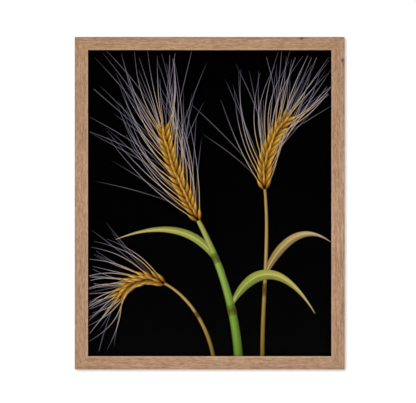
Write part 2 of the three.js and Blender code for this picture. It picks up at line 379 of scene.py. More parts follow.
def shade_highlight_and_ends(tree, place, rail, inward):
    """The darkening towards the rail's ends, the painted shade at its outer edge and the painted
    highlight at its sight edge, each as how strongly it shows and its tone."""
    low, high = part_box(rail)
    from_middle = add(tree, "ShaderNodeVectorMath", {0: place, 1: (low + high) / 2}, operation="DISTANCE")
    towards_end = add(tree, "ShaderNodeMapRange", {
        "Value": from_middle.outputs["Value"],
        "From Max": max(high - low) / 2,
        "To Max": END_DARKENING,
    })
    stains_and_painted_light = [(towards_end.outputs[0], EDGE_SHADE_AND_END_TONE)]
    outer_corner = low if sum(inward) > 0 else high
    across = add(tree, "ShaderNodeVectorMath", {0: place, 1: inward}, operation="DOT_PRODUCT")
    from_outside = add(tree, "ShaderNodeMath", {
        0: across.outputs["Value"],
        1: outer_corner.dot(Vector(inward)),
    }, operation="SUBTRACT")
    # Painted shade along the outer edge, then a painted highlight along the sight edge.
    shade_width, shade_share = OUTER_EDGE_SHADES[rail]
    highlight_width, highlight_share = SIGHT_EDGE_HIGHLIGHTS[rail]
    highlight_start = RAIL_FACE - highlight_width * MM
    for none_at, full_at, share, tone in (
        (shade_width * MM, 0, shade_share, EDGE_SHADE_AND_END_TONE),
        (highlight_start, highlight_start + HIGHLIGHT_FADE * MM, highlight_share, HIGHLIGHT_TONE),
    ):
        edge = add(tree, "ShaderNodeMapRange", {
            "Value": from_outside.outputs[0],
            "From Min": none_at,
            "From Max": full_at,
            "To Max": share,
        })
        stains_and_painted_light.append((edge.outputs[0], tone))
    return stains_and_painted_light


def open_pores(tree, grain):
    """How strongly the clumps of pores show, and how strongly the single ones. The single ones are fewer
    where the figure is pale."""
    clumps = add(tree, "ShaderNodeMapRange", {
        "Value": grain["dashes"],
        "From Min": 0.58,
        "From Max": 0.68,
        "To Max": 0.5,
    })
    along_figure = add(tree, "ShaderNodeMath", {
        0: grain["figure"],
        1: -0.3,
        2: grain["pores"],
    }, operation="MULTIPLY_ADD")
    pores = add(tree, "ShaderNodeMapRange", {
        "Value": along_figure.outputs[0],
        "From Min": 0.42,
        "From Max": 0.48,
        "To Max": 0.5,
    })
    return clumps.outputs[0], pores.outputs[0]


def pin_knot(tree, place, grain, centre, radii, strength):
    """How strongly a knot shows. The grain makes its edges ragged."""
    around = add(tree, "ShaderNodeMapping", {
        "Vector": place,
        "Location": centre,
        "Scale": radii,
    }, vector_type="TEXTURE")
    distance = add(tree, "ShaderNodeVectorMath", {0: around.outputs[0]}, operation="LENGTH")
    ragged = add(tree, "ShaderNodeMath", {
        0: grain["dashes"],
        1: 1.2,
        2: distance.outputs["Value"],
    }, operation="MULTIPLY_ADD")
    core = add(tree, "ShaderNodeMapRange", {
        "Value": ragged.outputs[0],
        "From Min": 0.9,
        "From Max": 1.6,
        "To Min": strength,
        "To Max": 0.0,
    })
    return core.outputs[0]


def oiled_oak(rail, inward, cut_from, knots=()):
    """Oiled oak, for the rail whose sight edge lies inward. Short soft fibre streaks lie over slow bands
    of figure and tone. Open pores show as fine dark dashes, and clumps of them as coarser ones, drawn
    wider than they are so that they show. A painted highlight lightens the sight edge, painted shade
    darkens the outer one, and the rail grows darker towards its ends."""
    material, tree, shader = new_material(rail.replace("rail", "oiled_oak"))
    place = add(tree, "ShaderNodeTexCoord").outputs["Object"]
    grain = oak_grain(tree, place, 0 if inward[2] else math.pi / 2, cut_from)
    colour = wood_colour(tree, grain, unoiled_faces(tree, place, inward))
    clumps, pores = open_pores(tree, grain)
    # The edges' painted shade and painted highlight and the darker ends, then the pores and the knots.
    stains_and_painted_light = shade_highlight_and_ends(tree, place, rail, inward)
    stains_and_painted_light += [(clumps, PORE_TONE), (pores, PORE_TONE)]
    for knot in knots:
        stains_and_painted_light.append((pin_knot(tree, place, grain, *knot), KNOT_TONE))
    for share, tone in stains_and_painted_light:
        colour = add(tree, "ShaderNodeMix", {
            0: share,
            MIX_FROM: colour,
            MIX_TO: linear(tone),
        }, data_type="RGBA").outputs[MIXED]

    relief = add(tree, "ShaderNodeMath", {0: grain["fibres"], 1: pores}, operation="SUBTRACT")
    bump = add(tree, "ShaderNodeBump", {
        "Strength": 0.35,
        "Distance": 0.15 * MM,
        "Height": relief.outputs[0],
    })
    sheen = add(tree, "ShaderNodeMapRange", {"Value": grain["fibres"], "To Min": 0.72, "To Max": 0.52})
    wire(tree, shader, {
        "Base Color": colour,
        "Roughness": sheen.outputs[0],
        "Specular IOR Level": 0.3,
        "Normal": bump.outputs[0],
    })
    return material


# Pin knots, each with the dark streak that runs out of it: the middle, the radii and how strongly it
# shows.
TOP_KNOTS = [
    ((146.2 * MM, cad_low.y, cad_high.z - 2.7 * MM), (4 * MM, 4 * MM, 2.8 * MM), 0.85),
    ((151 * MM, cad_low.y, cad_high.z - 2 * MM), (14 * MM, 4 * MM, 2 * MM), 0.35),
]
RIGHT_KNOTS = [
    ((cad_high.x - 3.6 * MM, cad_low.y, cad_high.z - 37.4 * MM), (3.6 * MM, 4 * MM, 4.6 * MM), 0.85),
    ((cad_high.x - 1.8 * MM, cad_low.y, cad_high.z - 44 * MM), (2.4 * MM, 4 * MM, 17 * MM), 0.4),
]

dress("rail_top", oiled_oak("rail_top", (0, 0, -1), (2.6, 0.9, 3.7), TOP_KNOTS))
dress("rail_right", oiled_oak("rail_right", (-1, 0, 0), (9.4, 2.3, 5.6), RIGHT_KNOTS))
dress("rail_bottom", oiled_oak("rail_bottom", (0, 0, 1), (4.1, 0.7, 1.9)))
dress("rail_left", oiled_oak("rail_left", (1, 0, 0), (7.7, 1.1, 3.2)))

# ---- V-nails ----------------------------------------------------------------------------------------
# Bent strips of zinc-plated steel, two pressed into the back of each mitre while its glue is wet, which
# pull it together. Only their upper edges show.


def mottled_steel(name, colour, roughness):
    """Steel from the press or the lathe, bare or under a thin plating: faintly mottled, and dulled in
    patches."""
    material, tree, shader = new_material(name)
    place = add(tree, "ShaderNodeTexCoord").outputs["Object"]
    mottle = add(tree, "ShaderNodeTexNoise", {"Vector": place, "Scale": 1 / (1.2 * MM), "Detail": 3.0})
    rough = add(tree, "ShaderNodeMapRange", {
        "Value": mottle.outputs[0],
        "To Min": roughness * 0.6,
        "To Max": roughness * 1.4,
    })
    tarnish = add(tree, "ShaderNodeMapRange", {
        "Value": mottle.outputs[0],
        "From Min": 0.35,
        "From Max": 0.7,
        "To Max": 0.3,
    })
    darker = [part * 0.5 for part in linear(colour)[:3]] + [1.0]
    tone = add(tree, "ShaderNodeMix", {
        0: tarnish.outputs[0],
        MIX_FROM: linear(colour),
        MIX_TO: darker,
    }, data_type="RGBA")
    wire(tree, shader, {
        "Base Color": tone.outputs[MIXED],
        "Metallic": 1.0,
        "Roughness": rough.outputs[0],
    })
    return material


zinc = mottled_steel("zinc_plated_steel", 0xD4D6D8, 0.3)
for node in nodes:
    if node.startswith("v_nail"):
        dress(node, zinc)

# ---- Glazing ----------------------------------------------------------------------------------------
# A sheet of 2 mm picture glass, coated on both faces so that it mirrors nothing. It only dims what is
# seen through it, and turns it a little green where it is seen at a slant.


def coated_glass():
    material, tree, shader = new_material("coated_picture_glass")
    slant = add(tree, "ShaderNodeLayerWeight", {"Blend": 0.3}).outputs["Facing"]
    tint = add(tree, "ShaderNodeMix", {
        0: slant,
        MIX_FROM: linear(0xFDFEFE),
        MIX_TO: linear(0xC4D3CC),
    }, data_type="RGBA")
    clear = add(tree, "ShaderNodeBsdfTransparent", {"Color": tint.outputs[MIXED]})
    tree.nodes.remove(shader)
    wire(tree, tree.nodes["Material Output"], {"Surface": clear.outputs[0]})
    return material


dress("glazing", coated_glass())

# ---- The print --------------------------------------------------------------------------------------
# One sheet of heavy matt paper, printed on its front with ears of barley on black and left white on
# its back. Each inked mark is a patch of the sheet's face, so the face is divided along the marks'
# outlines, and each corner of each patch holds its ink.

# The design is drawn in mm from the sheet's middle, with X to the right and Y up.
VISIBLE_HALF = (196.0, 246.0)  # marks stop here, just under the lip
BLACK_INK = 0x000000
PAPER_WHITE = 0xF1EFEA

marks = []


def bezier(p0, p1, p2, p3, steps):
    """A smooth line through its first and last handles, as an array of points."""
    t = np.linspace(0, 1, steps + 1)[:, None]
    p0, p1, p2, p3 = (np.array(p, float) for p in (p0, p1, p2, p3))
    return p0 * (1 - t) ** 3 + 3 * p1 * t * (1 - t) ** 2 + 3 * p2 * t ** 2 * (1 - t) + p3 * t ** 3


def sides_of(line):
    """The direction to the left of a line, at each of its points."""
    along = np.gradient(line, axis=0)
    along /= np.linalg.norm(along, axis=1)[:, None]
    return np.column_stack([-along[:, 1], along[:, 0]])


def within_sheet(line):
    """How many of a line's first points lie inside the printed part."""
    inside = (np.abs(line) <= VISIBLE_HALF).all(axis=1)
    return len(line) if inside.all() else int(np.argmin(inside))


def draw(line, half_widths, tones, shading=((-1, 1), (1, 1)), cover=(1, 1)):
    """Adds a mark along a line. half_widths and tones run along it, shading gives the brightness across
    it, and cover how much of what lies under it the ink hides, from start to end."""
    count = within_sheet(line)
    if count < 3:
        return
    share = np.linspace(0, 1, len(line))
    half = np.interp(share, np.linspace(0, 1, len(half_widths)), half_widths)
    inks = np.array([linear(tone)[:3] for tone in tones])
    steps = np.linspace(0, 1, len(inks))
    colours = np.column_stack([np.interp(share, steps, inks[:, i]) for i in range(3)])
    hiding = np.interp(share, np.linspace(0, 1, len(cover)), cover)
    marks.append({
        "line": line[:count],
        "half": half[:count],
        "colour": colours[:count],
        "hiding": hiding[:count],
        "shading": np.array(shading, float),
    })


def ink_of(mark, points):
    """The colour of a mark's ink at some points on it, and how much it hides."""
    line, half = mark["line"], mark["half"]
    start, step = line[:-1], np.diff(line, axis=0)
    offset = points[:, None] - start[None]
    share = np.clip((offset * step).sum(2) / (step ** 2).sum(1), 0, 1)
    away = offset - share[:, :, None] * step
    nearest = (away ** 2).sum(2).argmin(1)
    row = np.arange(len(points))
    share, away, step = share[row, nearest], away[row, nearest], step[nearest]

    def along(values):
        start_value, end_value = values[nearest], values[nearest + 1]
        weight = share if values.ndim == 1 else share[:, None]
        return start_value + (end_value - start_value) * weight

    side = (step[:, 0] * away[:, 1] - step[:, 1] * away[:, 0]) / np.linalg.norm(step, axis=1)
    across = np.clip(side / along(half), -1, 1)
    brightness = np.interp(across, mark["shading"][:, 0], mark["shading"][:, 1])
    return along(mark["colour"]) * brightness[:, None], along(mark["hiding"])


GRAIN_LENGTH = 24
GRAIN_HALF_WIDTH = 3.7
GRAIN_PROFILE = (0.25, 0.72, 0.96, 1.0, 0.88, 0.64, 0.36, 0.12)
GRAIN_TONES = (0x5A3409, 0xA86A14, 0xC68623, 0xDCAA50, 0xC89A5C)
GRAIN_SHADING = ((-1, 0.12), (-0.3, 0.85), (0.35, 1.3), (1, 0.3))
GRAIN_LIGHT = (0.8, 1.15)  # how dark and how light a whole grain may be
GRAIN_BULGE = 1
GRAIN_STEPS = 8

AWN_HALF_WIDTHS = (0.7, 0.6, 0.5, 0.4, 0.22)
AWN_TONES = (0xC58E42, 0xC49F76, 0xBDA9A0, 0xA596A6, 0x8A7F94)
AWN_COVER = (1, 0.95, 0.8, 0.4)
AWN_ROOT = 3  # under its grain's tip
AWN_STIFF = 20  # it leaves the grain straight for about this far
AWN_BEND = 0.45  # where it bends, as a share of its length
AWN_SWAY = 6
AWN_STEPS = 12

HAZE_HALF_WIDTHS = (0.5, 0.45, 0.2)
HAZE_TONES = (0x7E7383, 0x9A8FA2, 0x70667A)
HAZE_COVER = (0.1, 0.5, 0.45, 0.08)
HAZE_BEND = 0.4  # where it bends, as a share of its length
HAZE_TIP = 0.02  # how far its tip runs on, as such a share
HAZE_STEPS = 10

# How an ear's outer grains, its middle grains and its haze lie, in mm and in degrees off the ear's own
# way, with the least and the most of each. Reach is in shares of the ear's awn length.
OUTER_SETTING = {"splay": (22, 30), "bend": (8, 22), "reach": (0.85, 1.1)}
MIDDLE_SETTING = {"splay": (-6, 6), "bend": (-9, 9), "reach": (0.75, 1)}
HAZE_SETTING = {"splay": (6, 38), "start": (0, 20), "bend": (-4, 16), "reach": (0.7, 1.1)}
OUTER_ROOT = 1.8  # beside the ear's middle line
MIDDLE_ROOT = 0.22  # further up the ear, as a share of a grain's length
MIDDLE_SIZE = 0.88


def turned(direction, degrees):
    """A direction turned to the left."""
    x, y = direction
    cos, sin = math.cos(math.radians(degrees)), math.sin(math.radians(degrees))
    return np.array([x * cos - y * sin, x * sin + y * cos])


def draw_awn(tip, direction, turn, length, chance):
    """The bristle that grows on from a grain's tip and bends away."""
    end = tip + turned(direction, turn) * length
    sway = turned(direction, 90) * chance.uniform(-AWN_SWAY, AWN_SWAY)
    bend = tip + direction * length * AWN_BEND + sway
    line = bezier(tip - direction * AWN_ROOT, tip + direction * AWN_STIFF, bend, end, AWN_STEPS)
    draw(line, AWN_HALF_WIDTHS, AWN_TONES, cover=AWN_COVER)


def draw_grain(base, direction, size, chance):
    tip = base + direction * GRAIN_LENGTH * size
    bulge = turned(direction, 90) * chance.uniform(-GRAIN_BULGE, GRAIN_BULGE)
    belly = base + direction * GRAIN_LENGTH * size / 2 + bulge
    light = chance.uniform(*GRAIN_LIGHT)
    half_widths = [share * GRAIN_HALF_WIDTH * size for share in GRAIN_PROFILE]
    shading = [(across, brightness * light) for across, brightness in GRAIN_SHADING]
    draw(bezier(base, belly, belly, tip, GRAIN_STEPS), half_widths, GRAIN_TONES, shading)


def ear_grains(spine, left, forward, awn_length, chance):
    """An ear's grains, from its tip down: where each starts, its direction and size, how far its awn
    bends away, and the awn's length. Grains are largest halfway up, and awns longest at the foot."""
    rows = len(spine) - 1
    grains = []
    for row in reversed(range(rows)):
        size = 0.7 + 0.3 * math.sin(math.pi * (0.2 + 0.65 * row / rows))
        reach = awn_length * (1 - 0.25 * row / rows)
        for side in (-1, 1):
            direction = turned(forward[row], side * chance.uniform(*OUTER_SETTING["splay"]))
            base = spine[row] + left[row] * side * OUTER_ROOT
            away = -side * chance.uniform(*OUTER_SETTING["bend"])
            length = reach * chance.uniform(*OUTER_SETTING["reach"])
            grains.append((base, direction, size, away, length))
        base = spine[row] + forward[row] * GRAIN_LENGTH * MIDDLE_ROOT
        direction = turned(forward[row], chance.uniform(*MIDDLE_SETTING["splay"]))
        away = chance.uniform(*MIDDLE_SETTING["bend"])
        length = reach * chance.uniform(*MIDDLE_SETTING["reach"])
        grains.append((base, direction, size * MIDDLE_SIZE, away, length))
    return grains


def draw_haze(spine, forward, awn_length, chance):
    """The awns on an ear's far side, faint behind the others."""
    for row in range(len(spine) - 1):
        for side in (-1, 1):
            direction = turned(forward[row], side * chance.uniform(*HAZE_SETTING["splay"]))
            start = spine[row] + direction * chance.uniform(*HAZE_SETTING["start"])
            reach = awn_length * chance.uniform(*HAZE_SETTING["reach"])
            end = start + turned(direction, side * chance.uniform(*HAZE_SETTING["bend"])) * reach
            tip = end + (end - start) * HAZE_TIP
            line = bezier(start, start + direction * reach * HAZE_BEND, end, tip, HAZE_STEPS)
            draw(line, HAZE_HALF_WIDTHS, HAZE_TONES, cover=HAZE_COVER)


def draw_ear(handles, rows, awn_length, seed):
    """An ear of barley: two outer rows of grains and one that faces the eye. The awns lie behind the
    grains, with a haze of further awns behind them, and the lower grains lie over the ones above."""
    chance = random.Random(seed)
    spine = bezier(*handles, rows)
    left = sides_of(spine)
    forward = np.column_stack([left[:, 1], -left[:, 0]])
    grains = ear_grains(spine, left, forward, awn_length, chance)
    draw_haze(spine, forward, awn_length, chance)
    for base, direction, size, away, length in grains:
        draw_awn(base + direction * GRAIN_LENGTH * size, direction, away, length, chance)
    for base, direction, size, _, _ in grains:
        draw_grain(base, direction, size, chance)


LEAF_STEPS = 22
LEAF_PROFILE = (0.35, 0.8, 1.0, 0.95, 0.8, 0.55, 0.28, 0.05)
LEAF_SHADING = ((-1, 0.4), (-0.15, 0.8), (0.05, 1.25), (1, 0.75))
MIDRIB_TONES = (0xC9D08A, 0xD8D6A0)
MIDRIB_HALF_WIDTHS = (0.8, 0.55, 0.2)
VEINS = (-0.72, -0.44, 0.36, 0.68)  # across the blade, from one edge at -1 to the other at 1
VEIN_HALF_WIDTHS = (0.3, 0.45, 0.15)


def draw_leaf(handles, half_width, tones, seed):
    """A long blade with a pale midrib and a few veins each side."""
    chance = random.Random(seed)
    line = bezier(*handles, LEAF_STEPS)
    left = sides_of(line)
    profile = np.array(LEAF_PROFILE) * half_width
    half = np.interp(np.linspace(0, 1, len(line)), np.linspace(0, 1, len(profile)), profile)
    draw(line, profile, tones, LEAF_SHADING)
    for vein in VEINS:
        stop = len(line) - chance.randint(3, 6)
        vein_line = (line + left * (half * vein)[:, None])[:stop]
        draw(vein_line, VEIN_HALF_WIDTHS, (tones[-1], tones[1]), cover=(0.35, 0.5, 0.1))
    draw(line[:-2], MIDRIB_HALF_WIDTHS, (*MIDRIB_TONES, tones[-1]), cover=(0.9, 0.7, 0.3))


STEM_STEPS = 26
STEM_SHADING = ((-1, 0.3), (-0.3, 0.85), (0.4, 1.25), (1, 0.45))
JOINT_SWELL = 1.22
JOINT_TONE = 0x5E4A1C


def draw_stem(handles, half_widths, tones, joints):
    """A round stalk, with its joints at shares of its length."""
    line = bezier(*handles, STEM_STEPS)
    draw(line, half_widths, tones, STEM_SHADING)
    for joint in joints:
        row = int(joint * STEM_STEPS)
        half = np.interp(joint, np.linspace(0, 1, len(half_widths)), half_widths)
        swollen = (half, half * JOINT_SWELL, half)
        draw(line[row - 1:row + 2], swollen, (tones[0], JOINT_TONE, tones[0]), STEM_SHADING)


# Tones of stalks and leaves, from root to tip.
GREEN = (0x6E8E2C, 0x86A63C, 0x9DB052, 0xB9A95C)
STRAW = (0x8A6A2A, 0xB08A45, 0xC79F5C, 0xC0924C)
OLIVE = (0x7C8A28, 0xA2A63A, 0xC2B65A, 0xD0B878)
DRY = (0x8F6B2E, 0xB58F4E, 0xCDAE76, 0xC7A48A)

# The plants, from the hindmost to the foremost. Each line is given by its four handles, root first.
draw_leaf(((86, -118), (112, -60), (150, -30), (193, -62)), 7, DRY, 5)
draw_stem(((84, -246), (84, -150), (96, -60), (88, 22)), (3.4, 3.0, 2.6, 2.2), STRAW, (0.42,))
draw_ear(((88, 22), (84, 60), (92, 100), (128, 140)), 12, 150, 21)
draw_stem(((6, -246), (-2, -200), (-30, -150), (-72, -128)), (3.2, 2.8, 2.4, 2.0), STRAW, (0.5,))
draw_ear(((-72, -128), (-100, -114), (-128, -120), (-146, -152)), 9, 105, 22)
draw_leaf(((36, -160), (70, -96), (120, -96), (168, -176)), 8.5, OLIVE, 6)
draw_leaf(((22, -110), (-10, -40), (-70, -26), (-150, -58)), 6.5, OLIVE, 7)
draw_stem(((46, -246), (40, -160), (14, -90), (-18, -28)), (7.2, 6.4, 5.2, 3.6), GREEN, (0.33, 0.72))
draw_ear(((-18, -28), (-44, 22), (-66, 66), (-74, 122)), 15, 165, 23)

TRIANGLES_WITHIN = 1  # what the division gives: triangles, and none outside the sheet
SAME_POINT = 1e-4  # mm: points closer together than this become one


def divided_sheet():
    """The sheet's face divided along every mark: its points, its triangles, the outlines that each
    triangle lies in, and its corners. Outline 0 is the sheet's own."""
    low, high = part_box("print")
    half_width = (high.x - low.x) / 2 / MM
    half_height = (high.z - low.z) / 2 / MM
    points = [(-half_width, -half_height), (half_width, -half_height), (half_width, half_height),
              (-half_width, half_height)]
    outlines, lanes = [[0, 1, 2, 3]], []
    for mark in marks:
        line, half = mark["line"], mark["half"][:, None]
        left = sides_of(line)
        right_edge = line - left * half
        left_edge = line + left * half
        first = len(points)
        points += [*map(tuple, right_edge), *map(tuple, left_edge[::-1])]
        outlines.append(list(range(first, len(points))))
        for across in mark["shading"][1:-1, 0]:
            first = len(points)
            points += map(tuple, line + left * half * across)
            lanes += [(i, i + 1) for i in range(first, len(points) - 1)]
    points, _, triangles, point_origins, _, cover = delaunay_2d_cdt(
        [Vector(point) for point in points], lanes, outlines, TRIANGLES_WITHIN, SAME_POINT, True,
    )
    corners = []
    for corner in range(4):
        corners.append(next(i for i, origins in enumerate(point_origins) if corner in origins))
    return np.array([tuple(point) for point in points]), np.array(triangles), cover, corners


def inked(points, triangles, cover):
    """The ink at each corner of each triangle, one mark laid over the other."""
    ink = np.tile(linear(BLACK_INK)[:3], (len(triangles), 3, 1))
    under = [[] for _ in marks]
    for triangle, origins in enumerate(cover):
        for origin in origins:
            if origin:
                under[origin - 1].append(triangle)
    for mark, rows in zip(marks, under):
        if rows:
            colour, hiding = ink_of(mark, points[triangles[rows]].reshape(-1, 2))
            hiding = hiding.reshape(-1, 3, 1)
            ink[rows] = ink[rows] * (1 - hiding) + colour.reshape(-1, 3, 3) * hiding
    return ink


# The sheet's flat map: its printed face, as shares of the map, and a column of its five plain ones.
FACE_HEIGHT = 0.98
FACE_MIDDLE = (0.4, 0.5)
PLAIN_SQUARE = np.array([(0, 0), (1, 0), (1, 1), (0, 1)]) * 0.1
PLAIN_COLUMN = 0.86
PLAIN_FOOT = 0.05
PLAIN_PITCH = 0.15


def printed_sheet():
    """The whole sheet as one closed mesh, with its ink and a flat map of its faces."""
    points, triangles, cover, corners = divided_sheet()
    ink = inked(points, triangles, cover)
    low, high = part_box("print")
    centre = (low + high) / 2
    front = [(centre.x + x * MM, low.y, centre.z + z * MM) for x, z in points]
    back = [(front[corner][0], high.y, front[corner][2]) for corner in corners]
    first = len(front)
    edges = [(corners[i], first + i, first + (i + 1) % 4, corners[(i + 1) % 4]) for i in range(4)]
    reverse = [(first, first + 3, first + 2, first + 1)]
    mesh = bpy.data.meshes.new("printed_sheet")
    mesh.from_pydata(front + back, [], triangles.tolist() + edges + reverse)

    corner_count = len(mesh.loops)
    inks = np.ones((corner_count, 4), np.float32)
    inks[:, :3] = linear(PAPER_WHITE)[:3]
    inks[: triangles.size, :3] = ink.reshape(-1, 3)
    mesh.color_attributes.new("ink", "FLOAT_COLOR", "CORNER").data.foreach_set("color", inks.ravel())

    height = (high.z - low.z) / MM
    flat = np.zeros((corner_count, 2), np.float32)
    flat[: triangles.size] = points[triangles.ravel()] / height * FACE_HEIGHT + FACE_MIDDLE
    for i in range(len(edges + reverse)):
        at = triangles.size + 4 * i
        flat[at:at + 4] = PLAIN_SQUARE + (PLAIN_COLUMN, PLAIN_FOOT + PLAIN_PITCH * i)
    mesh.uv_layers.new(name="OFBake").data.foreach_set("uv", flat.ravel())
    return mesh


def inked_paper():
    """Ink on heavy matt paper. The ink has a faint gloss, which the paper's tooth breaks up."""
    material, tree, shader = new_material("inked_matt_paper")
    tooth = add(tree, "ShaderNodeTexNoise", {
        "Vector": add(tree, "ShaderNodeTexCoord").outputs["Object"],
        "Scale": 1 / (0.6 * MM),
        "Detail": 2.0,
    })
    rough = add(tree, "ShaderNodeMapRange", {"Value": tooth.outputs[0], "To Min": 0.2, "To Max": 0.32})
    wire(tree, shader, {
        "Base Color": add(tree, "ShaderNodeAttribute", attribute_name="ink").outputs["Color"],
        "Roughness": rough.outputs[0],
        "Specular IOR Level": 0.15,
    })
    return material


print_mesh = printed_sheet()
print_mesh.materials.append(inked_paper())
print_sheet = new_object("print_sheet", print_mesh)
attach(print_sheet, "root")
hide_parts("print")

# ---- Backing board ----------------------------------------------------------------------------------
# 3 mm fibreboard, pressed hard and left bare: an even brown with short matted fibres and a few darker
# specks. It lies on the print, and the hanger is pinned to it.

# The board's layers: how large a spot is, in mm, and how finely it is broken up.
BOARD_LAYERS = {"fibres": (1.1, 3.0), "clouds": (45, 2.0), "specks": (2.2, 1.0)}
BOARD_TONES = (0x8A6744, 0xB08C64)
SPECK_TONE = 0x5E422A


def fibreboard():
    """Matted fibres, in slow clouds of tone, with a few darker specks."""
    material, tree, shader = new_material("bare_fibreboard")
    place = add(tree, "ShaderNodeTexCoord").outputs["Object"]
    mat = {}
    for layer, (size, detail) in BOARD_LAYERS.items():
        mat[layer] = add(tree, "ShaderNodeTexNoise", {
            "Vector": place,
            "Scale": 1 / (size * MM),
            "Detail": detail,
            "Distortion": 1.5,
        }).outputs[0]
    mixed = add(tree, "ShaderNodeMath", {
        0: mat["clouds"],
        1: 0.25,
        2: mat["fibres"],
    }, operation="MULTIPLY_ADD")
    share = add(tree, "ShaderNodeMapRange", {
        "Value": mixed.outputs[0],
        "From Min": 0.4,
        "From Max": 0.85,
    })
    colour = add(tree, "ShaderNodeMix", {
        0: share.outputs[0],
        MIX_FROM: linear(BOARD_TONES[0]),
        MIX_TO: linear(BOARD_TONES[1]),
    }, data_type="RGBA")
    specks = add(tree, "ShaderNodeMapRange", {
        "Value": mat["specks"],
        "From Min": 0.66,
        "From Max": 0.74,
        "To Max": 0.6,
    })
    speckled = add(tree, "ShaderNodeMix", {
        0: specks.outputs[0],
        MIX_FROM: colour.outputs[MIXED],
        MIX_TO: linear(SPECK_TONE),
    }, data_type="RGBA")
    bump = add(tree, "ShaderNodeBump", {"Strength": 0.3, "Distance": 0.1 * MM, "Height": mat["fibres"]})
    wire(tree, shader, {
        "Base Color": speckled.outputs[MIXED],
        "Roughness": 0.75,
        "Specular IOR Level": 0.3,
        "Normal": bump.outputs[0],
    })
    return material


dress("backing_board", fibreboard())

# ---- Flexible points --------------------------------------------------------------------------------
# Stamped spring-steel tongues that hold the sheets in, three in each long rail and two in each short
# one. Their tapered tails are driven into the rebate's wall, a pressed rib stiffens them, and their
# round tips turn up a little, for a finger to bend them back.

# Sizes in mm. Places along a point are measured from the rebate's wall.
POINT_THICKNESS = 0.6
POINT_HALF_WIDTH = 4
POINT_REACH = 13  # over the board
POINT_TAIL = 6.5  # into the wood
TAIL_HALF_WIDTHS = (1, 2.5)
SHOULDER = 0.6
TURN_UP_START = 8
TURN_UP = 1.3
RIB_HEIGHT = 0.35
RIB_HALF_WIDTH = 0.9
RIB_ENDS = (1.5, 8)
POINT_ROUNDING = 0.12
POINT_ROWS = 14  # between its shoulder and its round tip
POINT_COLUMNS = 13
TIP_ANGLES = np.radians(np.linspace(0, 84, 11))  # round the tip, which ends a little blunt


def settle(piece):
    """Makes a piece's modifiers plain mesh."""
    graph = bpy.context.evaluated_depsgraph_get()
    made = bpy.data.meshes.new_from_object(piece.evaluated_get(graph), depsgraph=graph)
    piece.modifiers.clear()
    piece.data = made


def soften(mesh, degrees=30):
    """Smooth shading, but for edges sharper than that."""
    mesh.shade_smooth()
    mesh.set_sharp_from_angle(angle=math.radians(degrees))


def round_edges(piece, radius):
    bevel = piece.modifiers.new("rounding", "BEVEL")
    bevel.width = radius
    bevel.segments = 2
    bevel.limit_method = "ANGLE"
    bevel.angle_limit = math.radians(50)


def tongue():
    """The front face of one point, along X, with the rebate's wall at x = 0 and the wood at x < 0."""
    round_start = POINT_REACH - POINT_HALF_WIDTH
    sections = [(-POINT_TAIL, TAIL_HALF_WIDTHS[0]), (0, TAIL_HALF_WIDTHS[1])]
    for x in np.linspace(SHOULDER, round_start, POINT_ROWS, endpoint=False):
        sections.append((x, POINT_HALF_WIDTH))
    for angle in TIP_ANGLES:
        forward, sideways = math.sin(angle), math.cos(angle)
        sections.append((round_start + POINT_HALF_WIDTH * forward, POINT_HALF_WIDTH * sideways))

    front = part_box("flexible_point_top_1")[0].y / MM
    across = np.linspace(-1, 1, POINT_COLUMNS)
    points = []
    for x, half in sections:
        turn_up = TURN_UP * max(0, (x - TURN_UP_START) / (POINT_REACH - TURN_UP_START)) ** 2
        fade = min(1, max(0, min(x - RIB_ENDS[0], RIB_ENDS[1] - x)))
        rib = RIB_HEIGHT * fade * np.exp(-((across * half / RIB_HALF_WIDTH) ** 2))
        points += [(x * MM, y * MM, z * MM) for y, z in zip(front + turn_up + rib, across * half)]
    faces = []
    for row in range(len(sections) - 1):
        for first in range(row * POINT_COLUMNS, (row + 1) * POINT_COLUMNS - 1):
            faces.append((first, first + POINT_COLUMNS, first + POINT_COLUMNS + 1, first + 1))
    mesh = bpy.data.meshes.new("tongue")
    mesh.from_pydata(points, [], faces)
    return mesh


